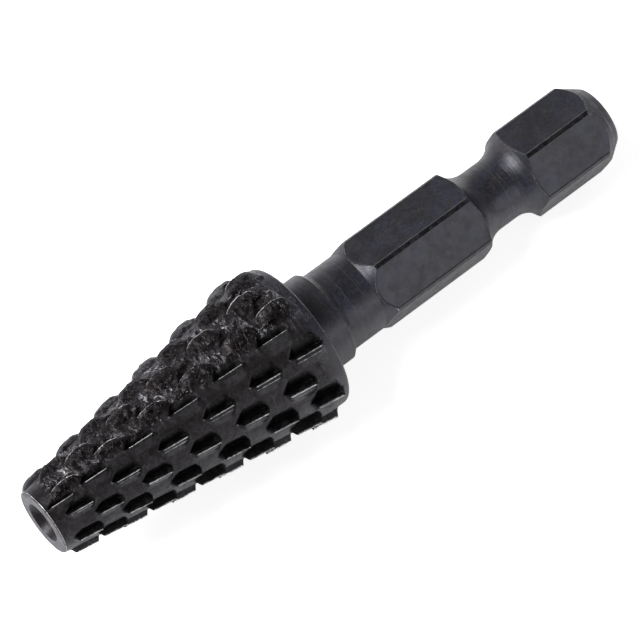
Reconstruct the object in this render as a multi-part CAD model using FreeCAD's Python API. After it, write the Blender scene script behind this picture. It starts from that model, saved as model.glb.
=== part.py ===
import FreeCAD, Part
import itertools
import math
import os

# Rotary rasp: a tapered rasp head on a quarter inch hexagon shank, turned from one bar.
# It is modelled along its own axis, from the front face at 0 to the shank's end, and then laid
# down the way it rests on a table: on two teeth of the large end and one corner of the shank.
# Lengths are in millimetres and angles in degrees.

# Head
front_radius = 2.52          # flat front face
front_edge_break = 0.12      # small chamfer round the front face
land_radius = 5.65           # plain land behind the teeth
land_length = 1.6
head_length = 22.6           # cone and land together
rim_chamfer = 0.26           # broken rear edge of the land

# Centre hole in the front face
centre_mouth_radius = 1.55
centre_seat_angle = 60.0     # included angle of the seat for a lathe centre
pilot_radius = 0.80
pilot_length = 2.0           # straight part of the hole
drill_point_angle = 118.0

# Collar and neck
collar_radius = 3.56
collar_length = 2.2
collar_chamfer_length = 0.45
neck_radius = 3.14
neck_length = 5.45           # from the head to where the cone behind the neck reaches the flats
neck_cone_angle = 27.0       # slope of that cone from the axis
neck_cone_hollow = 0.02      # the turning tool's nose leaves it slightly hollow

# Hexagon shank
hex_across_flats = 6.35
hex_corner_radius = 3.58     # the bar's corners are turned down to this radius
hex_corner_angle = -9.9      # of the first corner round the axis
overall_length = 50.3
end_radius = 2.42            # end face inside its chamfer
end_chamfer_angle = 34.3     # slope of that chamfer from the axis

# Waist groove in the shank
groove_setback = 10.15       # from the end face to the middle of the groove
groove_radius = 2.42         # at its floor
groove_floor_length = 1.5
groove_side_radius = 2.2     # arcs from the floor up to the hexagon

# Spiral of rasp teeth
teeth_per_turn = 8.5         # the half tooth staggers each turn against the one before
turn_feed = 1.9              # advance for each turn
spiral_start = 0.3           # where the spiral would begin
first_tooth_position = 1.3   # the first strokes fall no nearer to the front face than this
last_tooth_setback = 1.95    # and the last ones no nearer to the head's rear face than this
ring_closing_strokes = 4     # strokes at that last place, which close the last ring
missed_stroke = 1            # this stroke left no tooth
first_tooth_angle = -8.2     # angle of the first cutting edge round the axis
tooth_skew_angle = 4.0       # the punch stands a little across the axis

# One tooth and the pit in front of it, at the head's two ends
tooth_height = (0.44, 0.60)  # cutting edge above the cone
edge_length = (1.90, 2.20)
tooth_base_length = (2.10, 2.53)
tooth_foot_length = (1.15, 1.38)
pit_depth = (0.26, 0.34)     # crease below the cone
pit_length = (2.30, 2.75)    # between the pit's two points
pit_far_length = (1.27, 1.51)
crease_length = (1.43, 1.70)
pit_angle = 11.7             # round the axis, from the cutting edge to the pit's far side
back_angle = 10.5            # round the axis, from the cutting edge to the end of the tooth's back
rake_angle = 8.5             # lean of the cutting face from the radius
tooth_root = 0.30            # how far a tooth is sunk below the cone
face_spare = 0.05            # a tooth's extra front, which the pit's cut takes off
cut_clearance = 0.40         # how far the pit's cut reaches above the cutting edge

# How the tool lies
rest_strokes = (7, 6)        # the two teeth that touch the table, counted back from the last one

overlap = 1.0                # how far two bodies run into each other where they are joined

X = FreeCAD.Vector(1, 0, 0)
Z = FreeCAD.Vector(0, 0, 1)
ORIGIN = FreeCAD.Vector(0, 0, 0)

land_start = head_length - land_length
neck_end = head_length + neck_length
groove_position = overall_length - groove_setback
last_tooth_position = head_length - last_tooth_setback
spiral_turns = (last_tooth_position - spiral_start) / turn_feed
tooth_count = int(spiral_turns * teeth_per_turn) + 1 + ring_closing_strokes
cone_slope = (land_radius - front_radius) / land_start
flat_distance = hex_across_flats / 2
chamfer_start = overall_length - (hex_corner_radius - end_radius) / math.tan(math.radians(end_chamfer_angle))


def line(points):
    """Straight edges through (radius, z) points."""
    return Part.makePolygon([FreeCAD.Vector(r, 0, z) for r, z in points]).Edges


def arc(start, middle, end):
    """Round edge through three (radius, z) points."""
    return Part.Arc(*[FreeCAD.Vector(r, 0, z) for r, z in (start, middle, end)]).toShape()


def turned(edges):
    """Solid turned about the axis from the edges of a closed half section."""
    return Part.Face(Part.Wire(edges)).revolve(ORIGIN, Z, 360)


def head_and_neck():
    """Cone, land with its broken rim, collar with its chamfer, and neck."""
    collar_end = head_length + collar_length
    return turned(line([
        (0, 0),
        (front_radius - front_edge_break, 0),
        (front_radius + cone_slope * front_edge_break, front_edge_break),
        (land_radius, land_start),
        (land_radius, head_length - rim_chamfer),
        (land_radius - rim_chamfer, head_length),
        (collar_radius, head_length),
        (collar_radius, collar_end),
        (neck_radius, collar_end + collar_chamfer_length),
        (neck_radius, neck_end),
        (0, neck_end),
        (0, 0),
    ]))


def shank():
    """Hexagon bar inside its turned outline, with the waist groove cut round it."""
    slope = math.tan(math.radians(neck_cone_angle))
    start = neck_end - overlap
    cone_foot = (neck_radius, neck_end - (flat_distance - neck_radius) / slope)
    cone_top = (hex_corner_radius, neck_end + (hex_corner_radius - flat_distance) / slope)
    cone_middle = ((neck_radius + hex_corner_radius) / 2 - neck_cone_hollow, (cone_foot[1] + cone_top[1]) / 2)
    outline = turned([
        *line([(0, start), (neck_radius, start), cone_foot]),
        arc(cone_foot, cone_middle, cone_top),
        *line([
            cone_top,
            (hex_corner_radius, chamfer_start),
            (end_radius, overall_length),
            (0, overall_length),
            (0, start),
        ]),
    ])
    sharp_radius = flat_distance / math.cos(math.radians(30))
    turns = [math.radians(hex_corner_angle + 60 * i) for i in range(7)]
    corners = [FreeCAD.Vector(math.cos(t), math.sin(t), 0) * sharp_radius + Z * start for t in turns]
    bar = Part.Face(Part.makePolygon(corners)).extrude(Z * (overall_length - start))
    return outline.common(bar).cut(waist_groove())


def waist_groove():
    """Ring that the groove takes out: a straight floor between two arcs tangent to it."""
    rise = hex_corner_radius + cut_clearance - groove_radius
    turn = math.acos(1 - rise / groove_side_radius)
    run = groove_side_radius * math.sin(turn)
    low = groove_position - groove_floor_length / 2
    high = groove_position + groove_floor_length / 2
    middle_radius = groove_radius + groove_side_radius * (1 - math.cos(turn / 2))
    middle_run = groove_side_radius * math.sin(turn / 2)
    outer = groove_radius + rise
    return turned([
        arc((outer, low - run), (middle_radius, low - middle_run), (groove_radius, low)),
        *line([(groove_radius, low), (groove_radius, high)]),
        arc((groove_radius, high), (middle_radius, high + middle_run), (outer, high + run)),
        *line([(outer, high + run), (outer, low - run)]),
    ])


def centre_hole():
    """Seat for a lathe centre, the straight pilot hole and its drill point."""
    seat = (centre_mouth_radius - pilot_radius) / math.tan(math.radians(centre_seat_angle / 2))
    point = pilot_radius / math.tan(math.radians(drill_point_angle / 2))
    return turned(line([
        (0, -overlap),
        (centre_mouth_radius, -overlap),
        (centre_mouth_radius, 0),
        (pilot_radius, seat),
        (pilot_radius, seat + pilot_length),
        (0, seat + pilot_length + point),
        (0, -overlap),
    ]))


def stroke_place(stroke):
    """Where one stroke of the punch falls: its place along the axis and its angle round it."""
    turns = stroke / teeth_per_turn
    z = spiral_start + turn_feed * turns
    return min(max(z, first_tooth_position), last_tooth_position), first_tooth_angle - 360 * turns


def stroke_frame(stroke):
    """Origin on the cone and the directions along the edge, towards the pit and outward."""
    z, angle = stroke_place(stroke)
    turn = math.radians(angle)
    lean = math.atan(cone_slope)
    skew = math.radians(tooth_skew_angle)
    radial = FreeCAD.Vector(math.cos(turn), math.sin(turn), 0)
    sideways = FreeCAD.Vector(math.sin(turn), -math.cos(turn), 0)
    uphill = radial * math.sin(lean) + Z * math.cos(lean)
    along_edge = uphill * math.cos(skew) - sideways * math.sin(skew)
    to_pit = sideways * math.cos(skew) + uphill * math.sin(skew)
    outward = radial * math.cos(lean) - Z * math.sin(lean)
    return radial * (front_radius + cone_slope * z) + Z * z, along_edge, to_pit, outward


def stroke_sizes(stroke):
    """Sizes of one tooth and its pit, between those at the head's two ends."""
    z = stroke_place(stroke)[0]
    share = (z - first_tooth_position) / (last_tooth_position - first_tooth_position)

    def between(ends):
        """Value at this stroke."""
        return ends[0] + (ends[1] - ends[0]) * share

    radius = front_radius + cone_slope * z
    height = between(tooth_height)
    return {
        "radius": radius,
        "height": height,
        "depth": between(pit_depth),
        "edge": between(edge_length) / 2,
        "base": between(tooth_base_length) / 2,
        "foot": between(tooth_foot_length) / 2,
        "pit": between(pit_length) / 2,
        "far": between(pit_far_length) / 2,
        "crease": between(crease_length) / 2,
        "face_foot": height * math.tan(math.radians(rake_angle)),
        "reach": radius * math.sin(math.radians(pit_angle)),
        "back": radius * math.sin(math.radians(back_angle)),
    }


def fall(radius, sideways):
    """How far a round surface has dropped below its tangent plane, some way to the side."""
    return radius - math.sqrt(radius * radius - sideways * sideways)


def beyond(start, end, share):
    """Point on the line from start through end, past end by a share of its length."""
    return tuple(e + (e - s) * share for s, e in zip(start, end))


def tooth(stroke):
    """Wedge with a sloping back and two narrow flanks, a little proud of its cutting face."""
    s = stroke_sizes(stroke)
    crest = (s["edge"], 0, s["height"])
    foot = (s["foot"], -s["back"], -fall(s["radius"], s["back"]))
    proud = beyond(foot, crest, face_spare / s["back"])
    face_foot = (s["base"], s["face_foot"] + face_spare, 0)
    depth = tooth_root / s["height"]
    return mirrored_solid(stroke, [proud, beyond(proud, face_foot, depth), beyond(proud, foot, depth)])


def pit(stroke):
    """Cut in front of a tooth: the cutting face, a crease, a long ramp and two pointed ends."""
    s = stroke_sizes(stroke)
    lean = math.tan(math.radians(rake_angle))
    clear = s["height"] + cut_clearance
    return mirrored_solid(stroke, [
        (s["crease"], s["face_foot"] + s["depth"] * lean, -s["depth"]),
        (s["pit"], s["face_foot"], 0),
        (s["far"], s["reach"], -fall(s["radius"], s["reach"])),
        (s["pit"], s["face_foot"] - clear * lean, clear),
        (s["far"], s["reach"], clear),
    ])


def mirrored_solid(stroke, corners):
    """Solid round corners (along the edge, towards the pit, outward) and their mirror images."""
    origin, along_edge, to_pit, outward = stroke_frame(stroke)
    points = [
        origin + along_edge * (side * a) + to_pit * b + outward * c
        for a, b, c in corners
        for side in (-1, 1)
    ]
    faces = {}
    for i, j, k in itertools.combinations(range(len(points)), 3):
        normal = (points[j] - points[i]).cross(points[k] - points[i])
        if normal.Length < 1e-9:
            continue
        normal.normalize()
        heights = [(p - points[i]).dot(normal) for p in points]
        if max(heights) < 1e-7 or min(heights) > -1e-7:
            members = tuple(n for n, h in enumerate(heights) if abs(h) < 1e-7)
            faces[members] = normal if max(heights) < 1e-7 else normal * -1
    flats = [flat_face([points[n] for n in members], normal) for members, normal in faces.items()]
    return Part.makeSolid(Part.makeShell(flats))


def flat_face(points, normal):
    """Flat face round points of one plane, taken in order round their middle."""
    middle = sum(points[1:], points[0]) * (1 / len(points))
    first = points[0] - middle
    second = normal.cross(first)
    ordered = sorted(points, key=lambda p: math.atan2((p - middle).dot(second), (p - middle).dot(first)))
    return Part.Face(Part.makePolygon(ordered + ordered[:1]))


def edge_end(stroke):
    """Rear end of one cutting edge."""
    origin, along_edge, to_pit, outward = stroke_frame(stroke)
    s = stroke_sizes(stroke)
    return origin + along_edge * s["edge"] + outward * s["height"]


def shank_points():
    """Ends of the hexagon's turned corners, where the end chamfer begins."""
    half = 30 - math.degrees(math.acos(flat_distance / hex_corner_radius))
    angles = [hex_corner_angle + 60 * i + side * half for i in range(6) for side in (-1, 1)]
    turns = [math.radians(a) for a in angles]
    return [FreeCAD.Vector(math.cos(t), math.sin(t), 0) * hex_corner_radius + Z * chamfer_start for t in turns]


def lying_down():
    """Placement that sets two teeth and the lowest point of the shank on the table."""
    first, second = [edge_end(tooth_count - n) for n in rest_strokes]

    def table_normal(point):
        """Upward normal of the table through both teeth and a point of the shank."""
        normal = (second - first).cross(point - first).normalize()
        return normal if normal.dot(first) < 0 else normal * -1

    def lowest(point):
        """Height of the shank's lowest point above that table, zero or less."""
        return min((other - first).dot(table_normal(point)) for other in shank_points())

    up = table_normal(max(shank_points(), key=lowest))
    ahead = (Z - up * up.dot(Z)).normalize()
    turn = FreeCAD.Rotation(ahead, up.cross(ahead), up, "ZXY").inverted()
    return FreeCAD.Placement(Z * -turn.multVec(first).z, turn)


def rotary_rasp():
    """The finished tool, lying on the table with its front face towards -X."""
    strokes = [n for n in range(tooth_count) if n != missed_stroke]
    body = head_and_neck().fuse(shank()).cut(centre_hole())
    body = body.fuse([tooth(n) for n in strokes])
    body = body.cut([pit(n) for n in strokes]).removeSplitter()
    body.Placement = lying_down()
    box = body.optimalBoundingBox(False, True)
    body.translate(FreeCAD.Vector(-box.Center.x, -box.Center.y, 0))
    return body.Solids[0]


os.makedirs("parts", exist_ok=True)
rotary_rasp().exportStep("parts/rotary_rasp.step")
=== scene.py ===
import math

import bpy
import numpy as np
from mathutils import Matrix, Vector


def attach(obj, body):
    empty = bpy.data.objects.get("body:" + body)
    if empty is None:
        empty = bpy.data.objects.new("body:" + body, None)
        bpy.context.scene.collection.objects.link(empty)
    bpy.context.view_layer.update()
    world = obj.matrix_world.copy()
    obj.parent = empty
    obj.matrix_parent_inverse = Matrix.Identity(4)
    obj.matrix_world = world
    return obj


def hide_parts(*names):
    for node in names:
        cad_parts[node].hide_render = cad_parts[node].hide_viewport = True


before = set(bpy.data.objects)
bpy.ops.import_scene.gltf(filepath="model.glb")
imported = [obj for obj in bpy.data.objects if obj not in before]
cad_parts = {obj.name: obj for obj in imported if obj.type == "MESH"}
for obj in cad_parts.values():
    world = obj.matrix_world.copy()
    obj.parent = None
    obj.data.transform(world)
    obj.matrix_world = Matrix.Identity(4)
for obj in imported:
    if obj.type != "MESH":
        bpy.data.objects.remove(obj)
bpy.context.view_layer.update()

bl_info = {
    "name": "Rotary Rasp",
    "version": (1, 0, 0),
    "blender": (4, 5, 0),
    "location": "3D View > Sidebar > Rasp",
    "description": "A blackened rotary rasp on a hexagon shank, lying on a pale floor",
    "category": "Object",
}

NODE = "rotary_rasp"
MM = 0.001

# Angles are in degrees and lengths in millimetres, round and along the tool
FIRST_ROW = 8.2              # first row of teeth, from the side that faces the camera
TORN_BANDS = (58, 215)       # middles of the two bands of torn metal, from that side
SECOND_BAND = 0.97           # strength of the second band against the first
RESTING = (89, 90)           # strokes whose teeth touch the table
STROKE_TURN = 16             # a stroke is worked out this far round the tool
STROKE_LENGTH = 1.7          # and this far along it
EDGE_HELD = 1.4              # a column keeps to a cutting edge this far along the tool
EDGE_LEFT = 1.9              # and has left it here
LATTICE_LENGTH = 512         # cells of a random lattice along the tool
HEAD_FADE = (20.9, 22.3)     # where the head's brownish black gives way to the shank's finish

# Painted highlights along the turned edges, as paler metal, with their strength from 0 to 1
EDGE_HIGHLIGHT = {
    "mouth": 0.85, "front": 0.89, "rim": 0.9, "collar": 0.88, "cone": 0.9, "groove": 0.87, "end": 0.86,
}
LAMP_AIM = (0, 0, 0.006)     # point on the tool that the lamps are turned to, in metres


# The rasp's surface

def patchy(around, along, cells, seed):
    """Smooth random height from -1 to 1, eased between the points of a lattice.

    The lattice has this many cells round the tool.
    """
    lattice = np.random.default_rng(seed).random((cells, LATTICE_LENGTH)) * 2 - 1
    u = (around / 360 * cells) % cells
    v = along % LATTICE_LENGTH
    i, j = np.floor(u).astype(int) % cells, np.floor(v).astype(int) % LATTICE_LENGTH
    fu, fv = u - np.floor(u), v - np.floor(v)
    fu, fv = fu * fu * (3 - 2 * fu), fv * fv * (3 - 2 * fv)
    k, m = (i + 1) % cells, (j + 1) % LATTICE_LENGTH
    low = lattice[i, j] * (1 - fu) + lattice[k, j] * fu
    high = lattice[i, m] * (1 - fu) + lattice[k, m] * fu
    return low * (1 - fv) + high * fv


def soft_min(a, b, width):
    """The lesser of two heights, rounded where they cross."""
    h = np.maximum(width - np.abs(a - b), 0) / width
    return np.minimum(a, b) - h * h * width / 4


def strokes(teeth):
    """Place along the axis, angle in degrees and number of each stroke of the punch."""
    number = np.array([n for n in range(teeth.count) if n != teeth.missed])
    turns = number * 2 / teeth.rows
    place = np.clip(teeth.spiral_start + teeth.feed * turns, teeth.first_place, teeth.last_place)
    return place / MM, 360 * turns, number


def torn_share(around, from_level=0.66, over=0.12):
    """Share of torn metal by the angle round the tool: two bands, where the punch dragged."""
    first, second = (np.cos(np.radians(around + FIRST_ROW - middle)) for middle in TORN_BANDS)
    band = np.maximum(first, SECOND_BAND * second)
    return np.clip((band - from_level) / over, 0, 1)


def bowed(teeth, share, t, edge):
    """How far a torn tooth's cutting edge trails back at t (mm) along it.

    It grows with the square of t, and most towards the shank.
    """
    return share * teeth.bow / MM * np.minimum(np.maximum(t, -0.4 * t) / edge, 1.3) ** 2


def head_surface(sizes, teeth, z, around):
    """Height over the cone at places z (mm) and angles round the tool (degrees, growing towards the pits).

    A tooth falls evenly from its cutting edge to the end of its back, while its flanks spread and flatten. A
    pit is the least of a steep cutting face, a long ramp and two sloping ends. Each is measured along the
    edge and across it, with the slant of the punch. The other results are shares from 0 to 1: the pale lines
    of edges, which paint highlights; the black of pits and of the strip behind each edge, which paints
    shade, less of it in the bands of torn metal; the smooth places where no metal is torn; and the backs of
    the teeth.
    """
    places, angles, numbers = strokes(teeth)
    slope = (sizes.land_radius - sizes.front_radius) / (sizes.head_length - sizes.land_length)
    land = (sizes.head_length - sizes.land_length) / MM
    cone = sizes.front_radius / MM + slope * np.minimum(z, land)
    over = slope * np.maximum(z - land, 0)
    share = (places - places.min()) / (places.max() - places.min())
    rng = np.random.default_rng(11)
    uneven = rng.uniform(-1, 0, (len(places), 4)) * teeth.unevenness
    resting = np.isin(numbers, RESTING)
    uneven[resting] = 0
    marks = rng.uniform(0, 1, (len(places), 2))
    tear = torn_share(around)
    wide_torn_band = torn_share(around, 0.5, 0.1)
    bent = torn_share(angles)
    lean, skew = math.tan(teeth.rake), teeth.skew
    top, bottom = np.zeros_like(z), np.zeros_like(z)
    lines, black, smooth, backs = (np.zeros_like(z) for _ in range(4))

    def at(name, n, change=0.0):
        """One size of a stroke, between those at the head's two ends."""
        front, rear = getattr(teeth, name)
        return (front + (rear - front) * share[n]) / MM * (1 + change)

    for n in range(len(places)):
        across = (around - angles[n] + 180) % 360 - 180
        near = (np.abs(across) < STROKE_TURN) & (np.abs(z - places[n]) < STROKE_LENGTH)
        if not near.any():
            continue
        s0 = np.radians(across[near]) * cone[near]
        t0 = z[near] - places[n]
        s = s0 * math.cos(skew) + t0 * math.sin(skew)
        run = t0 * math.cos(skew) - s0 * math.sin(skew)
        t = np.abs(run)
        edge = at("edge", n) / 2
        s = s + bowed(teeth, bent[n], run, edge)
        s = np.where(np.abs(s) < 0.02, 0, s)
        torn = tear[near]
        h = at("height", n, uneven[n, 0])
        d = at("depth", n, uneven[n, 1])
        base, foot = at("base", n) / 2, at("foot", n) / 2
        pit, far, crease = at("pit", n, uneven[n, 2]) / 2, at("far", n) / 2, at("crease", n) / 2
        radius = cone[near]
        back = radius * math.sin(teeth.back) * (1 + 0.35 * bent[n])
        reach = radius * math.sin(teeth.reach)
        foot_of_face, root = h * lean, (h + d) * lean
        behind = np.clip(-s / back, 0, 1)
        middle = (edge + base) / 2
        spread = base - edge + 0.22 + 0.5 * torn + teeth.shoulder / MM * behind
        flank = np.clip((middle + (foot + 0.1 - middle) * behind - t) / spread + 0.5, 0, 1)
        flank = flank * flank * (3 - 2 * flank)
        dome = np.sqrt(np.clip(1 - (t / (edge + 0.15 + 0.3 * behind)) ** 2, 0, 1))
        flank = flank + (dome - flank) * bent[n] * (0.5 + 0.4 * marks[n, 0])
        lip = radius * math.sin(teeth.lip)
        dip = 0.03 * np.exp(-((s + lip / 2) / (lip / 4)) ** 2) * np.clip((edge - t) / 0.2, 0, 1)
        fall = (1 - behind) ** 1.15
        fall = fall + (np.sqrt(1 - behind ** 2) - fall) * 0.45 * bent[n]
        rise = h * flank * fall - dip
        rise = np.where(s > 0, np.minimum(rise, h - s / lean), rise)
        top[near] = np.maximum(top[near], np.where(s > foot_of_face, 0, rise))
        ahead = np.clip((s - root) / (reach - root), 0, 1)
        slid = np.abs(run - teeth.pit_slide / MM * ahead)
        ends = (pit + (far - pit) * ahead - slid) / (pit - crease)
        hollow = d * soft_min(1 - ahead, ends, 0.25)
        inside = (s > root - 0.03) & (s < reach)
        bottom[near] = np.maximum(bottom[near], np.where(inside, hollow, 0))
        reached = np.clip((edge + 0.05 + 0.25 * bent[n] - t) / 0.15, 0, 1)
        # Pale lines: painted highlights along the cutting edge, along the lip behind it and along the pit's
        # far side.
        first = np.where(s > 0, 1 - s / root, 1 + s / (0.3 + 0.2 * torn))
        second = (0.93 - 0.12 * wide_torn_band[near]) * (1 - np.abs(s + lip) / (0.6 * lip))
        last = (1 - np.abs(s - reach) / 0.25) * np.clip((far - slid) / 0.15 + 0.5, 0, 1) * teeth.far_line
        pale_highlight = 0.94 + 0.06 * marks[n, 0] - 0.13 * bent[n] * marks[n, 1]
        line = np.maximum(np.maximum(first, second) * reached * pale_highlight, last * torn)
        lines[near] = np.maximum(lines[near], line)
        # Painted shade: a black strip behind each cutting edge and black in the pits, both weaker in the
        # bands of torn metal.
        strip = np.clip(1.9 - np.abs(s + lip / 2) / lip * 2.4, 0, 1) * reached * (0.35 + 0.65 * marks[n, 1])
        ramp_painted_shade = inside * np.maximum(1 - 0.93 * wide_torn_band[near], np.clip((0.6 - ahead) / 0.3, 0, 1))
        painted_shade = np.maximum(strip * (1 - 0.7 * torn), ramp_painted_shade * (hollow > 0.01))
        black[near] = np.maximum(black[near], painted_shade)
        oval = np.clip((1 - (t / (edge + 0.5)) ** 2 - (s / (1.25 * back)) ** 2) / 0.25, 0, 1)
        wedge = flank * np.clip((1.2 + s / back) / 0.3, 0, 1)
        backs[near] = np.maximum(backs[near], np.where(bent[n] > 0.5, oval, wedge) * (s <= 0))
        calm = np.clip(1.3 - np.abs(s + lip / 2) / (0.8 * lip), 0, 1) * reached * (1 - 0.6 * bent[n])
        calm = np.maximum(calm, inside * np.clip((0.6 - ahead) / 0.2, 0, 1))
        smooth[near] = np.maximum(smooth[near], calm)
    teeth_height = np.where(top > 0.001, top + over, 0)
    height = np.where(bottom > 0.004, np.minimum(-bottom + over, 0), teeth_height)
    return cone, height, lines, black, smooth, backs


def head_columns(sizes, teeth, z):
    """Angles of the columns, one row for each place z: they keep to the cutting edges and creases."""
    places, angles, _ = strokes(teeth)
    step = 360 / teeth.rows
    slope = (sizes.land_radius - sizes.front_radius) / (sizes.head_length - sizes.land_length)
    radius = sizes.front_radius / MM + slope * np.minimum(z, (sizes.head_length - sizes.land_length) / MM)
    share = np.clip(z / (sizes.head_length / MM), 0, 1)
    deep = [(a[0] + (a[1] - a[0]) * share) / MM for a in (teeth.height, teeth.depth)]
    root = np.degrees((deep[0] + deep[1]) * math.tan(teeth.rake) / radius)
    local = np.array([-0.5, -0.448, -0.378, -0.302, -0.227, -0.156, -0.094, -0.047, -0.016, 0.0,
                      0.0, 0.0, 0.0, 0.19, 0.265, 0.34, 0.406, 0.458]) * step
    columns = np.tile(local, (len(z), 1))
    columns[:, 10] = root
    columns[:, 11] = root + 0.022 * step
    columns[:, 12] = root + 0.075 * step
    whole = []
    for row in range(teeth.rows):
        middle = row * step
        off = np.abs((angles - middle + 180) % 360 - 180)
        own = places[off < 1]
        gap = z[:, None] - own[None, :]
        nearest = gap[np.arange(len(z)), np.abs(gap).argmin(1)]
        leaving = np.sign(nearest) * np.clip((EDGE_LEFT - np.abs(nearest)) * 2.8, 0, EDGE_HELD)
        slant = np.where(np.abs(nearest) < EDGE_HELD, nearest, leaving)
        bow = bowed(teeth, torn_share(middle), nearest, sum(teeth.edge) / 4 / MM)
        bow = bow * np.clip((EDGE_LEFT - np.abs(nearest)) / 0.5, 0, 1)
        shift = -np.degrees((slant * math.tan(teeth.skew) + bow) / radius)
        hold = np.clip((0.5 - np.abs(columns / step)) / 0.25, 0, 1)
        whole.append(middle + columns + shift[:, None] * hold)
    return np.concatenate(whole, 1)


def hexagon_columns(sizes, rows):
    """Angles of the columns along the hexagon: dense at its turned corners, even over its flats."""
    half = math.degrees(math.acos(sizes.across_flats / 2 / sizes.corner_radius))
    count = rows * 18 // 6
    flat = np.linspace(-half, half, count - 3)
    band = half + (60 - 2 * half) * np.array([0.25, 0.5, 0.75])
    one = np.concatenate([flat, band])
    return np.concatenate([one + 60 * k for k in range(6)])


def hexagon_radius(sizes, around, first_flat):
    """Radius of the hexagon with turned corners, by the angle from a flat's middle."""
    off = (around - first_flat + 30) % 60 - 30
    return np.minimum(sizes.across_flats / 2 / np.cos(np.radians(off)), sizes.corner_radius) / MM


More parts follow.
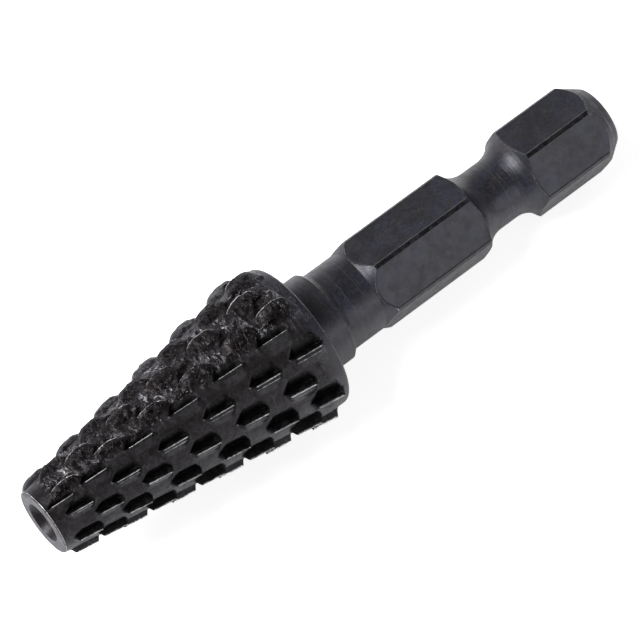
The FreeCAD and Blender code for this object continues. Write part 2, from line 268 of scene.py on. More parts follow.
def rasp_rings(sizes, teeth):
    """Rings from the hole's bottom to the end face.

    Each holds the radius, place, angle, edge highlight, torn, pit, turned and back of all its points. The
    edge highlight paints highlights along edges, and the pit value paints shade.
    """
    mm = {key: getattr(sizes, key) / MM for key in RaspSizes.__annotations__}
    land = mm["head_length"] - mm["land_length"]
    slope = (mm["land_radius"] - mm["front_radius"]) / land
    rings = []
    start = head_columns(sizes, teeth, np.array([0.2]))[0]
    zero = np.zeros_like(start)

    def ring(radius, z, angle=start, edge_highlight=0.0, pit=0.0, turned=1.0):
        """Add one ring of the turned body."""
        rings.append([zero + value for value in (radius, z, angle, edge_highlight, 0.0, pit, turned, 0.0)])

    seat = (mm["mouth_radius"] - mm["hole_radius"]) / math.tan(sizes.seat_slope)
    floor = seat + mm["hole_length"]
    point = floor + mm["hole_radius"] / math.tan(sizes.point_slope)
    # Painted shade: black inside the hole, fading out up the seat.
    for share in (0.02, 0.5, 1):
        ring(mm["hole_radius"] * share, point + (floor - point) * share, pit=1)
    for share in np.linspace(0.1, 1, 8):
        ring(mm["hole_radius"], floor + (seat - floor) * share, pit=1)
    for share in np.linspace(0.15, 1, 7):
        radius = mm["hole_radius"] + (mm["mouth_radius"] - mm["hole_radius"]) * share
        ring(radius, seat * (1 - share), pit=max(1 - 1.6 * share, 0), edge_highlight=EDGE_HIGHLIGHT["mouth"] * (share == 1))
    soft = mm["front_edge"]
    for radius in np.linspace(mm["mouth_radius"] + 0.04, mm["front_radius"] - soft, 6):
        ring(radius, 0)
    for bend in (22, 45, 67, 90):
        b = math.radians(bend)
        ring(mm["front_radius"] - soft + (soft + slope * soft) * math.sin(b), soft * (1 - math.cos(b)),
             edge_highlight=EDGE_HIGHLIGHT["front"] * (bend in (45, 67)))

    z = np.concatenate([
        np.arange(soft + 0.08, land, 0.1),
        np.linspace(land, mm["head_length"] - mm["rim"], 13),
    ])
    around = head_columns(sizes, teeth, z)
    depth = np.repeat(z[:, None], around.shape[1], 1)
    # lines are painted highlights along edges; pit is the painted shade of the pits and of the strip behind
    # each edge.
    cone, height, lines, pit, smooth, backs = head_surface(sizes, teeth, depth, around)
    torn = torn_share(around)
    fade = np.clip((mm["head_length"] - 0.8 - depth) / 0.6, 0, 1) * np.clip((depth - 0.9) / 0.6, 0, 1)
    torn = np.maximum(torn * fade, 0.06) * (1 - smooth)
    lumps = patchy(around, depth / 0.32, 72, 3) * 0.7 + patchy(around, depth / 0.22, 120, 4) * 0.4
    lumps = lumps * (1 - 0.3 * backs)
    nicks = patchy(around, depth / 0.3, 96, 9)
    height = height + lumps * torn * teeth.burr / MM
    height = height - np.abs(nicks) * (lines > 0.9) * (0.03 + 0.09 * torn_share(around))
    turned = np.clip((depth - land) / 0.3 + 0.5, 0, 1) * (np.abs(height) < 0.02)
    hexagon = hexagon_columns(sizes, teeth.rows)
    for k in range(len(z)):
        rings.append([
            cone[k] + height[k], depth[k], around[k], lines[k], torn[k], pit[k], turned[k], backs[k],
        ])
    layout = around[-1]
    rim = mm["rim"]
    for bend in (20, 40, 60, 80, 90):
        b = math.radians(bend)
        ring(mm["land_radius"] - rim * (1 - math.cos(b)), mm["head_length"] - rim * (1 - math.sin(b)),
             layout, edge_highlight=EDGE_HIGHLIGHT["rim"] * (bend == 40))
    for share in (0.4, 0.9, 1):
        radius = mm["land_radius"] - rim + (mm["collar_radius"] - mm["land_radius"] + rim) * share
        ring(radius, mm["head_length"], layout)
    collar_end = mm["head_length"] + mm["collar_length"]
    cone_start = mm["neck_end"] - (mm["across_flats"] / 2 - mm["neck_radius"]) / math.tan(sizes.neck_slope)
    first = 30 - math.degrees(sizes.corner_turn) - 60 + math.degrees(teeth.first_turn)
    order = np.sort((hexagon + first) % 360)
    order = np.roll(order, -np.argmin(np.abs(order - layout[0] % 360)))
    target = np.where(order < order[0] - 1e-9, order + 360, order)
    target = target - 360 * np.round((target.mean() - layout.mean()) / 360)

    def blended(place):
        """Angles at this place, carried evenly from the head's columns to the hexagon's."""
        share = np.clip((place - mm["head_length"] - 0.3) / (cone_start - mm["head_length"] - 0.6), 0, 1)
        return layout + (target - layout) * share

    for place in (*np.linspace(mm["head_length"] + 0.06, collar_end - 0.05, 5), collar_end):
        ring(mm["collar_radius"], place, blended(place), edge_highlight=EDGE_HIGHLIGHT["collar"] * (place == collar_end))
    foot = collar_end + mm["collar_chamfer"]
    for share in (0.5, 1):
        ring(mm["collar_radius"] + (mm["neck_radius"] - mm["collar_radius"]) * share,
             collar_end + mm["collar_chamfer"] * share, blended(collar_end))
    for place in np.linspace(foot + 0.1, cone_start, 7):
        ring(mm["neck_radius"], place, blended(place))
    outline = hexagon_radius(sizes, target, first)
    slant = math.tan(sizes.neck_slope)
    for share in (0.33, 0.67, 1):
        radius = mm["neck_radius"] + (outline - mm["neck_radius"]) * share
        place = cone_start + (radius - mm["neck_radius"]) / slant
        ring(radius, place, target, edge_highlight=EDGE_HIGHLIGHT["cone"] * (share == 1))
    low = mm["groove_place"] - mm["groove_floor"] / 2
    high = mm["groove_place"] + mm["groove_floor"] / 2
    reach = np.arccos(1 - (outline - mm["groove_radius"]) / mm["groove_side"])
    begin = cone_start + (outline - mm["neck_radius"]) / slant
    upto = low - mm["groove_side"] * np.sin(reach)
    corners = 1.0 * (outline > mm["corner_radius"] - 1e-6)
    # Darker turned corners of the hexagon, with painted shade making them darker still on one side of the
    # shank.
    corner_dark_and_shade = corners * (0.22 + 0.28 * np.clip(2 * np.cos(np.radians(target)) - 1, 0, 1))
    for share in (0.02, 0.25, 0.5, 0.75, 0.98):
        ring(outline, begin + (upto - begin) * share, target, turned=corners, pit=corner_dark_and_shade)

    def groove_side(share, edge, way):
        """Add one ring of the arc beside the groove's floor, at this share of its bend."""
        bend = reach * share
        ring(mm["groove_radius"] + mm["groove_side"] * (1 - np.cos(bend)),
             edge + way * mm["groove_side"] * np.sin(bend), target, edge_highlight=EDGE_HIGHLIGHT["groove"] * (share == 1))

    for share in np.linspace(1, 0, 10):
        groove_side(share, low, -1)
    for share in (0.33, 0.67):
        ring(mm["groove_radius"], low + (high - low) * share, target)
    for share in np.linspace(0, 1, 10):
        groove_side(share, high, 1)
    begin = high + mm["groove_side"] * np.sin(reach)
    upto = mm["overall"] - (outline - mm["end_radius"]) / math.tan(sizes.end_slope)
    for share in (0.02, 0.25, 0.5, 0.75, 0.98, 1):
        ring(outline, begin + (upto - begin) * share, target, edge_highlight=EDGE_HIGHLIGHT["end"] * (share == 1),
             turned=corners, pit=corner_dark_and_shade)
    for share in (0.33, 0.67, 1):
        radius = outline + (mm["end_radius"] - outline) * share
        place = mm["overall"] - (radius - mm["end_radius"]) / math.tan(sizes.end_slope)
        ring(radius, place, target, pit=0.4)
    for share in (0.97, 0.6, 0.3, 0.02):
        ring(mm["end_radius"] * share, mm["overall"], target)
    return np.array(rings)


def rasp_mesh(name, sizes, teeth, place):
    """One closed surface through all the rings, with a point at each end."""
    rings = rasp_rings(sizes, teeth)
    radius, z, around, edge_highlight, torn, pit, turned, back = rings.transpose(1, 0, 2)
    rows, columns = radius.shape
    angle = teeth.first_turn - np.radians(around)
    points = np.stack([radius * np.cos(angle), radius * np.sin(angle), z], -1).reshape(-1, 3)
    poles = np.array([[0, 0, z[0, 0]], [0, 0, z[-1, 0]]])
    points = np.concatenate([points, poles]) * MM
    matrix = np.array(tool_matrix(place))
    points = points @ matrix[:3, :3].T + matrix[:3, 3]
    i, j = np.meshgrid(np.arange(rows - 1), np.arange(columns), indexing="ij")
    after = (j + 1) % columns
    this, following = i * columns, (i + 1) * columns
    quads = np.stack([this + j, following + j, following + after, this + after], -1).reshape(-1, 4)
    j = np.arange(columns)
    after = (j + 1) % columns
    last = (rows - 1) * columns
    front = np.stack([np.full(columns, rows * columns), j, after], -1)
    rear = np.stack([np.full(columns, rows * columns + 1), last + after, last + j], -1)
    mesh = bpy.data.meshes.new(name)
    mesh.from_pydata(points, [], [*quads.tolist(), *front.tolist(), *rear.tolist()])
    for label, values in (("edge_highlight", edge_highlight), ("torn", torn), ("pit", pit), ("turned", turned), ("back", back)):
        layer = mesh.attributes.new(label, "FLOAT", "POINT")
        layer.data.foreach_set("value", np.concatenate([values.ravel(), [0, 0]]).astype(np.float32))
    mesh.shade_smooth()
    mesh.set_sharp_from_angle(angle=math.radians(24))
    return mesh


def tool_matrix(place):
    """From the tool's own frame, z along its axis, to the place where it lies."""
    return (Matrix.Translation(Vector(place.start)) @ Matrix.Rotation(place.fall + math.radians(90), 4, "Y")
            @ Matrix.Rotation(place.roll + math.radians(180), 4, "Z"))


# Node helpers

def new_group(name, inputs, outputs):
    """Shader node group with named sockets; inputs are (name, kind, default), outputs (name, kind)."""
    group = bpy.data.node_groups.new(name, "ShaderNodeTree")
    for label, kind, value in inputs:
        socket = group.interface.new_socket(label, in_out="INPUT", socket_type="NodeSocket" + kind)
        if value is not None:
            socket.default_value = value
    for label, kind in outputs:
        group.interface.new_socket(label, in_out="OUTPUT", socket_type="NodeSocket" + kind)
    return group, group.nodes.new("NodeGroupInput"), group.nodes.new("NodeGroupOutput")


class Net:
    """Short calls for adding and joining the nodes of one tree."""

    def __init__(self, tree):
        self.tree = tree

    def add(self, kind, links=None, **settings):
        """A node of this kind, with settings on it and its inputs linked or set."""
        node = self.tree.nodes.new(kind)
        for key, value in settings.items():
            setattr(node, key, value)
        for key, value in (links or {}).items():
            self.feed(node.inputs[key], value)
        return node

    def feed(self, socket, value):
        """Link a socket to another one, or set its value."""
        if isinstance(value, bpy.types.NodeSocket):
            self.tree.links.new(value, socket)
        else:
            socket.default_value = value

    def math(self, operation, a, b=0.0, c=0.0):
        """Result of a Math node."""
        return self.add("ShaderNodeMath", {0: a, 1: b, 2: c}, operation=operation).outputs[0]

    def ramp(self, value, low, high, start=0.0, end=1.0):
        """Value carried smoothly from low..high to start..end."""
        node = self.add("ShaderNodeMapRange", {
            "Value": value, "From Min": low, "From Max": high, "To Min": start, "To Max": end,
        }, interpolation_type="SMOOTHSTEP")
        return node.outputs["Result"]

    def noise(self, vector, scale, detail=3.0, roughness=0.5, distortion=0.0):
        """Noise height from 0 to 1."""
        node = self.add("ShaderNodeTexNoise", {
            "Vector": vector, "Scale": scale, "Detail": detail, "Roughness": roughness,
            "Distortion": distortion,
        })
        return node.outputs[0]

    def mix(self, share, a, b):
        """Colour between a and b."""
        node = self.add("ShaderNodeMix", data_type="RGBA")
        for index, value in ((0, share), (6, a), (7, b)):
            self.feed(node.inputs[index], value)
        return node.outputs[2]

    def combine(self, x=0.0, y=0.0, z=0.0):
        """Vector from three numbers."""
        return self.add("ShaderNodeCombineXYZ", {0: x, 1: y, 2: z}).outputs[0]


def tool_coordinates():
    """Group: place in the tool's own frame in millimetres, z from the front face to the shank's end."""
    made = bpy.data.node_groups.get("Tool coordinates")
    if made:
        return made
    place = bpy.context.scene.rasp_place
    group, _, out = new_group("Tool coordinates", [], [
        ("Place", "Vector"), ("Along", "Float"), ("Angle", "Float"), ("Radius", "Float"),
        ("Unrolled", "Vector"),
    ])
    net = Net(group)
    mapping = net.add("ShaderNodeMapping", {
        "Vector": net.add("ShaderNodeTexCoord").outputs["Object"],
        "Location": tuple(place.start),
        "Rotation": tuple(tool_matrix(place).to_euler()),
        "Scale": (MM, MM, MM),
    }, vector_type="TEXTURE")
    apart = net.add("ShaderNodeSeparateXYZ", {0: mapping.outputs[0]})
    x, y, z = apart.outputs
    angle = net.math("ARCTAN2", y, x)
    radius = net.math("SQRT", net.math("ADD", net.math("MULTIPLY", x, x), net.math("MULTIPLY", y, y)))
    net.feed(out.inputs["Place"], mapping.outputs[0])
    net.feed(out.inputs["Along"], z)
    net.feed(out.inputs["Angle"], angle)
    net.feed(out.inputs["Radius"], radius)
    net.feed(out.inputs["Unrolled"], net.combine(radius, net.math("MULTIPLY", angle, radius), z))
    return group


def turned_rings():
    """Group: height of fine rings left by turning, and a mask of some rings for painted highlight lines."""
    made = bpy.data.node_groups.get("Turned rings")
    if made:
        return made
    group, inp, out = new_group("Turned rings", [
        ("Along", "Float", None), ("Angle", "Float", None), ("Scale", "Float", 6.0),
    ], [("Height", "Float"), ("Lines", "Float")])
    net = Net(group)
    wander = net.math("MULTIPLY", net.math("SINE", inp.outputs["Angle"]), 0.02)
    along = net.math("MULTIPLY", net.math("ADD", inp.outputs["Along"], wander), inp.outputs["Scale"])
    fine = net.noise(net.combine(z=along), 1.0, 2.0, 0.6)
    coarse = net.noise(net.combine(z=net.math("MULTIPLY", along, 0.3), x=7.0), 1.0, 2.0, 0.5)
    height = net.math("ADD", net.math("MULTIPLY", fine, 0.7), net.math("MULTIPLY", coarse, 0.6))
    net.feed(out.inputs["Height"], height)
    net.feed(out.inputs["Lines"], net.ramp(fine, 0.54, 0.66))
    return group


def mottling():
    """Group: patches where the black finish turns bluish or brownish, and its roughness."""
    made = bpy.data.node_groups.get("Black finish mottling")
    if made:
        return made
    group, inp, out = new_group("Black finish mottling", [
        ("Vector", "Vector", None), ("Black", "Color", (0.02, 0.02, 0.022, 1)),
        ("Cool", "Color", (0.028, 0.028, 0.036, 1)), ("Warm", "Color", (0.035, 0.026, 0.022, 1)),
        ("Roughness", "Float", 0.42),
    ], [("Color", "Color"), ("Roughness", "Float"), ("Height", "Float")])
    net = Net(group)
    place = inp.outputs["Vector"]
    cool = net.ramp(net.noise(place, 0.5, 5.0, 0.65, 0.5), 0.42, 0.62)
    shifted = net.add("ShaderNodeVectorMath", {0: place, 1: (31.0, 12.0, 5.0)}, operation="ADD").outputs[0]
    warm = net.ramp(net.noise(shifted, 0.8, 5.0, 0.65, 0.6), 0.48, 0.66)
    grain = net.noise(place, 5.0, 5.0, 0.7)
    color = net.mix(warm, net.mix(cool, inp.outputs["Black"], inp.outputs["Cool"]), inp.outputs["Warm"])
    speck = net.ramp(grain, 0.3, 0.75, 0.5, 1.7)
    tint = net.add("ShaderNodeVectorMath", {0: color, "Scale": speck}, operation="SCALE").outputs[0]
    net.feed(out.inputs["Color"], tint)
    haze = net.ramp(net.noise(shifted, 1.3, 4.0, 0.65), 0.35, 0.7, -0.05, 0.08)
    rough = net.math("ADD", inp.outputs["Roughness"], haze)
    rough = net.math("ADD", rough, net.ramp(grain, 0.3, 0.7, -0.05, 0.06))
    net.feed(out.inputs["Roughness"], rough)
    net.feed(out.inputs["Height"], grain)
    return group


def torn_metal():
    """Group: short wrinkles of torn metal drawn out round the tool, and painted glints on their ridges."""
    made = bpy.data.node_groups.get("Torn metal")
    if made:
        return made
    group, inp, out = new_group("Torn metal", [
        ("Unrolled", "Vector", None), ("Share", "Float", 0.0), ("Scale", "Float", 1.8),
    ], [("Height", "Float"), ("Bright", "Float"), ("Patch", "Float")])
    net = Net(group)
    drawn = net.add("ShaderNodeVectorMath", {
        0: inp.outputs["Unrolled"], 1: (1.0, 1.0, 2.3),
    }, operation="MULTIPLY")
    scaled = net.add("ShaderNodeVectorMath", {
        0: drawn.outputs[0], "Scale": inp.outputs["Scale"],
    }, operation="SCALE")
    wave = net.noise(scaled.outputs[0], 1.0, 1.0, 0.5, 1.5)
    away = net.math("ABSOLUTE", net.math("SUBTRACT", wave, 0.5))
    ridge = net.math("MAXIMUM", net.math("SUBTRACT", 1.0, net.math("MULTIPLY", away, 14.0)), 0.0)
    fine = net.noise(scaled.outputs[0], 2.5, 3.0, 0.6, 0.5)
    height = net.math("ADD", net.math("MULTIPLY", ridge, 0.7), net.math("MULTIPLY", fine, 0.4))
    share = inp.outputs["Share"]
    patch = net.ramp(net.noise(inp.outputs["Unrolled"], 0.7, 3.0, 0.6), 0.43, 0.60)
    painted_glint = net.math("MULTIPLY", net.ramp(ridge, 0.35, 0.9), net.ramp(patch, 0.0, 1.0, 0.10, 0.90))
    height = net.math("MULTIPLY", height, net.ramp(patch, 0.0, 1.0, 0.5, 1.0))
    net.feed(out.inputs["Height"], net.math("MULTIPLY", height, share))
    net.feed(out.inputs["Bright"], net.math("MULTIPLY", painted_glint, share))
    net.feed(out.inputs["Patch"], net.math("MULTIPLY", share, patch))
    return group


def edge_highlight_lines():
    """Group: thin broken lines of painted highlight along edges, as paler metal."""
    made = bpy.data.node_groups.get("Edge lines")
    if made:
        return made
    group, inp, out = new_group("Edge lines", [
        ("Place", "Vector", None), ("Share", "Float", 0.0), ("Width", "Float", 0.12),
    ], [("Mask", "Float")])
    net = Net(group)
    ragged = net.math("SUBTRACT", net.noise(inp.outputs["Place"], 5.0, 3.0, 0.7), 0.5)
    share = net.math("ADD", inp.outputs["Share"], net.math("MULTIPLY", ragged, 0.22))
    low = net.math("SUBTRACT", 1.0, inp.outputs["Width"])
    line = net.ramp(share, low, net.math("ADD", low, 0.09))
    broken = net.ramp(net.noise(inp.outputs["Place"], 1.6, 3.0, 0.65), 0.36, 0.6, 0.25, 1.0)
    net.feed(out.inputs["Mask"], net.math("MULTIPLY", line, broken))
    return group


def black_steel(name):
    """Material: black oxide on steel, with turning rings, mottling, torn metal, painted highlights and
    painted shade.
    """
    finish = bpy.context.scene.rasp_finish
    material = bpy.data.materials.new(name)
    material.use_nodes = True
    net = Net(material.node_tree)
    shader = material.node_tree.nodes["Principled BSDF"]
    tool = net.add("ShaderNodeGroup", node_tree=tool_coordinates())
    share = {
        label: net.add("ShaderNodeAttribute", attribute_name=label).outputs["Fac"]
        for label in ("edge_highlight", "torn", "pit", "turned", "back")
    }
    patches = net.add("ShaderNodeGroup", {
        "Vector": tool.outputs["Place"], "Black": (*finish.black, 1), "Cool": (*finish.cool, 1),
        "Warm": (*finish.warm, 1), "Roughness": finish.roughness,
    }, node_tree=mottling())
    rings = net.add("ShaderNodeGroup", {
        "Along": tool.outputs["Along"], "Angle": tool.outputs["Angle"], "Scale": 3.4,
    }, node_tree=turned_rings())
    torn = net.add("ShaderNodeGroup", {
        "Unrolled": tool.outputs["Unrolled"], "Share": share["torn"], "Scale": 0.95,
    }, node_tree=torn_metal())
    lines = net.add("ShaderNodeGroup", {
        "Place": tool.outputs["Place"], "Share": share["edge_highlight"], "Width": 0.17,
    }, node_tree=edge_highlight_lines())
    ragged = net.ramp(net.noise(tool.outputs["Place"], 1.9, 5.0, 0.75), 0.35, 0.6, 0.5, 1.1)
    # The pit value darkens the colour: painted shade in the pits, the hole and the strip behind each edge;
    # also the hexagon's darker corners and end chamfer.
    pit = net.ramp(net.math("MULTIPLY", share["pit"], ragged), 0.05, 0.75)
    # Painted highlights along edges, as paler metal.
    line = net.math("MULTIPLY", lines.outputs["Mask"], finish.edge_highlight_strength)
    bare = net.math("SUBTRACT", 1.0, net.math("MULTIPLY", share["back"], 0.8))
    head = net.ramp(tool.outputs["Along"], *HEAD_FADE, 1.0, 0.0)
    # Painted shade: a darker colour on the backs of torn teeth.
    shaded_back = net.math("MULTIPLY", share["back"], share["torn"])
    web = net.mix(shaded_back, (*finish.head, 1), (*finish.shaded_back, 1))
    color = net.mix(head, patches.outputs["Color"], web)
    color = net.mix(net.math("MULTIPLY", torn.outputs["Patch"], bare), color, (*finish.torn, 1))
    color = net.mix(pit, color, (*finish.deep, 1))
    # Painted glints on the ridges of torn metal, in the pale wrinkle colour.
    painted_glint = net.math("MULTIPLY", torn.outputs["Bright"], bare)
    color = net.mix(painted_glint, color, (*finish.drawn, 1))
    color = net.mix(line, color, (*finish.pale_highlight, 1))
    # Painted highlight lines along some of the turning rings.
    ring_highlight = net.math("MULTIPLY", net.math("MULTIPLY", rings.outputs["Lines"], share["turned"]), 0.02)
    color = net.mix(ring_highlight, color, (*finish.pale_highlight, 1))
    painted_glint = net.math("MAXIMUM", net.math("MAXIMUM", line, painted_glint), ring_highlight)
    turned = net.math("MULTIPLY", rings.outputs["Height"], share["turned"])
    grain = net.math("MULTIPLY", patches.outputs["Height"], 0.9)
    height = net.math("ADD", net.math("MULTIPLY", turned, 7.0), grain)
    rounded = net.add("ShaderNodeBevel", {"Radius": finish.edge_radius}, samples=6)
    fine = net.add("ShaderNodeBump", {
        "Strength": 0.35, "Distance": 0.00003, "Height": height, "Normal": rounded.outputs[0],
    })
    bump = net.add("ShaderNodeBump", {
        "Strength": 1.0, "Distance": finish.torn_depth, "Height": torn.outputs["Height"],
        "Normal": fine.outputs[0],
    })
    net.feed(shader.inputs["Base Color"], color)
    net.feed(shader.inputs["Roughness"], patches.outputs["Roughness"])
    streaks = net.ramp(net.noise(tool.outputs["Unrolled"], 2.0, 5.0, 0.8, 0.8), 0.34, 0.64, 0.72, 0.32)
    dull = net.math("MULTIPLY_ADD", share["torn"], 0.3, net.math("MULTIPLY", head, streaks))
    # Painted shade: pits are fully metallic with a near-black colour, so they reflect little; painted
    # highlights and glints are made more metallic.
    dull = net.math("MAXIMUM", pit, dull)
    net.feed(shader.inputs["Metallic"], net.math("MAXIMUM", net.math("MULTIPLY", painted_glint, 0.8), dull))
    net.feed(shader.inputs["Normal"], bump.outputs[0])
    shader.inputs["IOR"].default_value = 1.55
    shader.inputs["Specular Tint"].default_value = (0.92, 0.92, 1.0, 1.0)
    return material


def size(name, description, value):
    """Property for one size, given in millimetres and kept in metres."""
    return bpy.props.FloatProperty(
        name=name, description=description, default=value * MM, min=0, unit="LENGTH", precision=6)


def pair(name, description, front, rear):
    """Property for a size that grows from the first teeth to the last ones, in millimetres."""
    return bpy.props.FloatVectorProperty(
        name=name, description=description, default=(front * MM, rear * MM), size=2, min=0,
        unit="LENGTH", precision=6)


def turn(name, description, value):
    """Property for one angle, given in degrees."""
    return bpy.props.FloatProperty(
        name=name, description=description, default=math.radians(value), subtype="ANGLE", unit="ROTATION")


def point(name, description, value):
    """Property for one place in the scene, in metres."""
    return bpy.props.FloatVectorProperty(
        name=name, description=description, default=value, size=3, subtype="TRANSLATION", unit="LENGTH",
        precision=6)


def tone(name, description, value):
    """Property for one colour."""
    return bpy.props.FloatVectorProperty(
        name=name, description=description, default=value, size=3, subtype="COLOR", min=0, max=1)


def level(name, description, value, highest=1):
    """Property for a strength or share from 0 up."""
    return bpy.props.FloatProperty(name=name, description=description, default=value, min=0, max=highest)


def power(name, description, value):
    """Property for a lamp's power in watts."""
    return bpy.props.FloatProperty(name=name, description=description, default=value, min=0, unit="POWER")


class RaspSizes(bpy.types.PropertyGroup):
    """Sizes of the turned body, along and round its own axis."""

    front_radius: size("Front radius", "Radius of the flat front face", 2.52)
    front_edge: size("Front edge", "Softening of the front face's edge", 0.12)
    land_radius: size("Land radius", "Radius of the plain land behind the teeth", 5.65)
    head_length: size("Head length", "Cone and land together", 22.6)
    land_length: size("Land length", "Plain land behind the teeth", 1.6)
    rim: size("Rim", "Rounding of the land's rear edge", 0.26)
    mouth_radius: size("Hole mouth", "Radius of the centre hole at the front face", 1.55)
    hole_radius: size("Hole radius", "Radius of the straight part of the centre hole", 0.8)
    hole_length: size("Hole length", "Straight part of the centre hole", 2.0)
    seat_slope: turn("Hole seat", "Slope of the seat from the axis", 30)
    point_slope: turn("Hole point", "Slope of the drill point from the axis", 59)
    collar_radius: size("Collar radius", "Radius of the collar", 3.56)
    collar_length: size("Collar length", "Length of the collar", 2.2)
    collar_chamfer: size("Collar chamfer", "Length of the slope behind the collar", 0.45)
    neck_radius: size("Neck radius", "Radius of the neck", 3.14)
    neck_end: size("Neck end", "Where the cone behind the neck meets the flats", 28.05)
    neck_slope: turn("Neck cone", "Slope of the cone behind the neck", 27)
    across_flats: size("Across flats", "Width of the hexagon", 6.35)
    corner_radius: size("Corner radius", "Radius the hexagon's corners are turned to", 3.58)
    corner_turn: turn("First corner", "Angle of a corner of the hexagon", -9.9)
    groove_place: size("Groove", "Middle of the waist groove", 40.15)
    groove_radius: size("Groove radius", "Radius of the groove's floor", 2.42)
    groove_floor: size("Groove floor", "Length of the groove's straight floor", 1.5)
    groove_side: size("Groove side", "Radius of the arcs beside the floor", 2.2)
    overall: size("Overall length", "From the front face to the shank's end", 50.3)
    end_radius: size("End radius", "Radius of the end face inside its chamfer", 2.42)
    end_slope: turn("End chamfer", "Slope of the end chamfer", 34.3)


class RaspTeeth(bpy.types.PropertyGroup):
    """The spiral of teeth, and one tooth with the pit in front of it."""

    rows: bpy.props.IntProperty(
        name="Rows", description="Rows of teeth round the head", default=17, min=3)
    feed: size("Feed", "Advance of the spiral for each turn", 1.9)
    spiral_start: size("Spiral start", "Where the spiral would begin", 0.3)
    first_place: size("First teeth", "No tooth stands nearer to the front face", 1.3)
    last_place: size("Last teeth", "No tooth stands nearer to the shank", 20.65)
    count: bpy.props.IntProperty(
        name="Strokes", description="Strokes of the punch", default=96, min=1)
    missed: bpy.props.IntProperty(
        name="Missed stroke", description="The stroke that left no tooth", default=1)
    first_turn: turn("First turn", "Angle of the first cutting edge", -8.2)
    skew: turn("Skew", "Slant of the cutting edges", 4.0)
    height: pair("Tooth height", "Cutting edge above the cone", 0.44, 0.60)
    edge: pair("Edge length", "Length of the cutting edge", 1.90, 2.20)
    base: pair("Tooth base", "Length of the tooth at its foot, below the cutting edge", 2.10, 2.53)
    foot: pair("Tooth foot", "Length of the tooth where its back runs out", 1.15, 1.38)
    depth: pair("Pit depth", "Crease below the cone", 0.26, 0.34)
    pit: pair("Pit length", "Between the pit's two points", 2.30, 2.75)
    far: pair("Pit far side", "Length of the pit's far side", 1.27, 1.51)
    crease: pair("Crease length", "Length of the crease", 1.43, 1.70)
    reach: turn("Pit reach", "From the cutting edge to the pit's far side", 11.7)
    back: turn("Back reach", "From the cutting edge to the end of the tooth's back", 10.5)
    rake: turn("Rake", "Lean of the cutting face", 8.5)
    pit_slide: size("Pit slide", "How far a pit's far side lies towards the shank", 0.18)
    shoulder: size("Shoulder", "Spread of a tooth's flanks where its back runs out", 0.55)
    lip: turn("Lip", "From the cutting edge to the lip behind it", 3.3)
    # Painted highlight: the pale line along a pit's far side.
    far_line: level("Far line", "Strength of the pale line along a pit's far side", 0.9)
    unevenness: level("Unevenness", "Share by which teeth and pits differ", 0.08, 0.5)
    burr: size("Burr", "Ragged height of torn metal", 0.105)
    bow: size("Bow", "How far the ends of a torn tooth's cutting edge trail back", 0.26)


class RaspPlace(bpy.types.PropertyGroup):
    """Where the tool lies."""

    start: point("Front face", "Middle of the front face", (-0.0250615, 0.00004915, 0.0076460))
    fall: turn("Fall", "How far the axis dips towards the shank's end", 4.8306)
    roll: turn("Roll", "Turn of the tool about its own axis", 17.437)


class RaspFinish(bpy.types.PropertyGroup):
    """Colours and surface of the blackened steel."""

    black: tone("Black", "Main colour of the black oxide", (0.008, 0.008, 0.011))
    cool: tone("Cool patches", "Bluish patches", (0.015, 0.016, 0.027))
    warm: tone("Warm patches", "Brownish patches", (0.019, 0.015, 0.017))
    # Colour of the painted highlights along edges, as paler metal.
    pale_highlight: tone("Worn edges", "Paler metal along edges", (0.75, 0.74, 0.75))
    # Colour of the painted glints on the ridges of torn metal.
    drawn: tone("Wrinkles", "Ridges of torn metal", (0.44, 0.425, 0.45))
    head: tone("Head", "Brownish black between the teeth", (0.013, 0.0105, 0.011))
    # Colour of the painted shade on the backs of torn teeth.
    shaded_back: tone("Backs", "Dark brown on the backs of torn teeth", (0.008, 0.0055, 0.0055))
    torn: tone("Torn metal", "Between the wrinkles of torn metal", (0.023, 0.0215, 0.0235))
    # Colour of the painted shade inside the pits.
    deep: tone("Pits", "Black inside the pits", (0.018, 0.018, 0.019))
    roughness: level("Roughness", "Roughness of the satin black", 0.38)
    # Strength of the painted highlights along edges.
    edge_highlight_strength: level("Edge wear", "Strength of the paler edges", 1.0)
    torn_depth: size("Wrinkle height", "Height of the finest wrinkles of torn metal", 0.10)
    edge_radius: size("Edge radius", "Softness of the edges", 0.05)


class RaspStage(bpy.types.PropertyGroup):
    """Camera, floor and light."""

    lens: bpy.props.FloatProperty(
        name="Lens", description="Focal length on a 36 mm sensor", default=221.68, unit="CAMERA")
    camera_place: point("Camera", "Where the camera stands", (-0.062562, -0.078697, 0.262323))
    aim: point("Aim", "Point the camera looks at", (-0.000740, -0.000109, 0.006))
    camera_roll: turn("Camera roll", "Turn of the picture about its middle", -1.545)
    floor_size: size("Floor", "Side of the square floor", 800)
    floor_color: tone("Floor colour", "Colour of the floor", (0.85, 0.85, 0.85))
    floor_seen: level("Floor seen", "Glow of the floor where the camera sees it", 0.74)
    floor_mirrored: level("Floor mirrored", "Glow of the floor where the tool mirrors it", 0.5)
    ceiling: level("Ceiling", "Brightness of the room overhead", 0.155)
    walls: level("Walls", "Brightness of the room near the floor", 0.55)
    key: power("Main lamp", "Power of the lamp over the head", 1.35)
    key_place: point("Main lamp's place", "Where the main lamp hangs", (-0.175, 0.120, 0.265))
    key_size: size("Main lamp's side", "Side of the square main lamp", 200)
    side: power("Side lamp", "Power of the low soft lamp", 0.25)
    side_place: point("Side lamp's place", "Where the side lamp stands", (0.10, -0.30, 0.16))
    side_size: size("Side lamp's side", "Side of the square side lamp", 220)


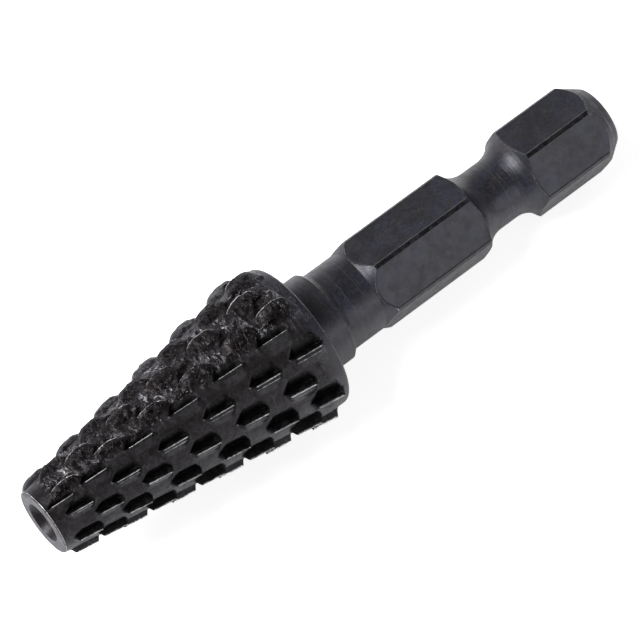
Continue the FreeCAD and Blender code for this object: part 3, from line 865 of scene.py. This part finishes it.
class RASP_OT_body(bpy.types.Operator):
    """Make the rasp: toothed head, collar, neck and hexagon shank in one piece."""

    bl_idname = "rasp.body"
    bl_label = "Rotary rasp"

    def execute(self, context):
        scene = context.scene
        mesh = rasp_mesh("rasp", scene.rasp_sizes, scene.rasp_teeth, scene.rasp_place)
        mesh.materials.append(black_steel("Black oxide steel"))
        rasp = bpy.data.objects.new("rasp", mesh)
        context.collection.objects.link(rasp)
        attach(rasp, "root")
        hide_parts(NODE)
        return {"FINISHED"}


class RASP_OT_stage(bpy.types.Operator):
    """Make the floor, the light and the camera."""

    bl_idname = "rasp.stage"
    bl_label = "Stage"

    def execute(self, context):
        stage = context.scene.rasp_stage
        half = stage.floor_size / 2
        mesh = bpy.data.meshes.new("floor")
        corners = [(-half, -half, 0), (half, -half, 0), (half, half, 0), (-half, half, 0)]
        mesh.from_pydata(corners, [], [(0, 1, 2, 3)])
        floor = bpy.data.objects.new("floor", mesh)
        context.collection.objects.link(floor)
        mesh.materials.append(pale_floor(stage))
        white_room(context.scene, stage)
        lamp("main_lamp", stage.key, stage.key_place, stage.key_size)
        lamp("side_lamp", stage.side, stage.side_place, stage.side_size)
        context.scene.camera = camera(stage)
        context.scene.view_settings.view_transform = "Standard"
        return {"FINISHED"}


def pale_floor(stage):
    """Floor material: pale and matt, glowing where the camera or the tool's reflections see it.

    In reflections it is dimmed close to the tool by ambient occlusion, a painted shadow.
    """
    material = bpy.data.materials.new("Pale floor")
    material.use_nodes = True
    net = Net(material.node_tree)
    shader = material.node_tree.nodes["Principled BSDF"]
    shader.inputs["Base Color"].default_value = (*stage.floor_color, 1)
    shader.inputs["Roughness"].default_value = 0.9
    shader.inputs["Specular IOR Level"].default_value = 0.1
    path = net.add("ShaderNodeLightPath")
    shade = net.add("ShaderNodeAmbientOcclusion", {"Distance": 0.02}, samples=4)
    mirrored = net.math("MAXIMUM", path.outputs["Is Glossy Ray"], path.outputs["Is Transmission Ray"])
    # Painted shadow: ambient occlusion dims the floor's glow in the tool's reflections close to the tool.
    near = net.math("MULTIPLY", shade.outputs["AO"], stage.floor_mirrored)
    mirrored = net.math("MULTIPLY", mirrored, near)
    seen = net.math("MULTIPLY", path.outputs["Is Camera Ray"], stage.floor_seen)
    net.feed(shader.inputs["Emission Strength"], net.math("ADD", seen, mirrored))
    shader.inputs["Emission Color"].default_value = (1, 1, 1, 1)
    return material


def white_room(scene, stage):
    """World: a white room, dimmer overhead than near the floor, plain white where the camera sees it."""
    world = bpy.data.worlds.new("White room")
    scene.world = world
    world.use_nodes = True
    net = Net(world.node_tree)
    back = world.node_tree.nodes["Background"]
    back.inputs["Color"].default_value = (1, 1, 1, 1)
    way = net.add("ShaderNodeSeparateXYZ", {0: net.add("ShaderNodeTexCoord").outputs["Generated"]})
    room = net.ramp(way.outputs["Z"], 0.0, 0.9, stage.walls, stage.ceiling)
    seen = net.add("ShaderNodeLightPath").outputs["Is Camera Ray"]
    net.feed(back.inputs["Strength"], net.math("MAXIMUM", seen, room))


def lamp(name, watts, place, side):
    """Square soft lamp aimed at the tool."""
    data = bpy.data.lights.new(name, "AREA")
    data.energy = watts
    data.size = side
    made = bpy.data.objects.new(name, data)
    bpy.context.collection.objects.link(made)
    made.location = place
    made.rotation_euler = (Vector(LAMP_AIM) - Vector(place)).to_track_quat("-Z", "Y").to_euler()


def camera(stage):
    """Camera at the photograph's angle."""
    data = bpy.data.cameras.new("camera")
    data.lens = stage.lens
    data.sensor_width = 36
    data.clip_start = 0.01
    data.clip_end = 10
    made = bpy.data.objects.new("camera", data)
    bpy.context.collection.objects.link(made)
    look = (Vector(stage.aim) - Vector(stage.camera_place)).to_track_quat("-Z", "Y").to_matrix().to_4x4()
    made.matrix_world = (Matrix.Translation(Vector(stage.camera_place)) @ look
                         @ Matrix.Rotation(stage.camera_roll, 4, "Z"))
    return made


class RASP_PT_panel(bpy.types.Panel):
    """Sizes, finish and stage of the rasp."""

    bl_label = "Rotary Rasp"
    bl_idname = "RASP_PT_panel"
    bl_space_type = "VIEW_3D"
    bl_region_type = "UI"
    bl_category = "Rasp"

    def draw(self, context):
        for title, name in (("Sizes", "rasp_sizes"), ("Teeth", "rasp_teeth"), ("Place", "rasp_place"),
                            ("Finish", "rasp_finish"), ("Stage", "rasp_stage")):
            group = getattr(context.scene, name)
            box = self.layout.box()
            box.label(text=title)
            for key in group.__annotations__:
                box.prop(group, key)
        for operator in OPERATORS:
            self.layout.operator(operator.bl_idname)


OPERATORS = (RASP_OT_body, RASP_OT_stage)
GROUPS = {
    "rasp_sizes": RaspSizes, "rasp_teeth": RaspTeeth, "rasp_place": RaspPlace,
    "rasp_finish": RaspFinish, "rasp_stage": RaspStage,
}


def register():
    """Make the panel, its sizes and the operators known to Blender."""
    for cls in (*GROUPS.values(), *OPERATORS, RASP_PT_panel):
        bpy.utils.register_class(cls)
    for name, cls in GROUPS.items():
        setattr(bpy.types.Scene, name, bpy.props.PointerProperty(type=cls))


def unregister():
    """Take them out again."""
    for name in GROUPS:
        delattr(bpy.types.Scene, name)
    for cls in (RASP_PT_panel, *OPERATORS, *GROUPS.values()):
        bpy.utils.unregister_class(cls)


def main():
    """Build the whole scene."""
    register()
    bpy.ops.rasp.body()
    bpy.ops.rasp.stage()


if __name__ == "__main__":
    main()
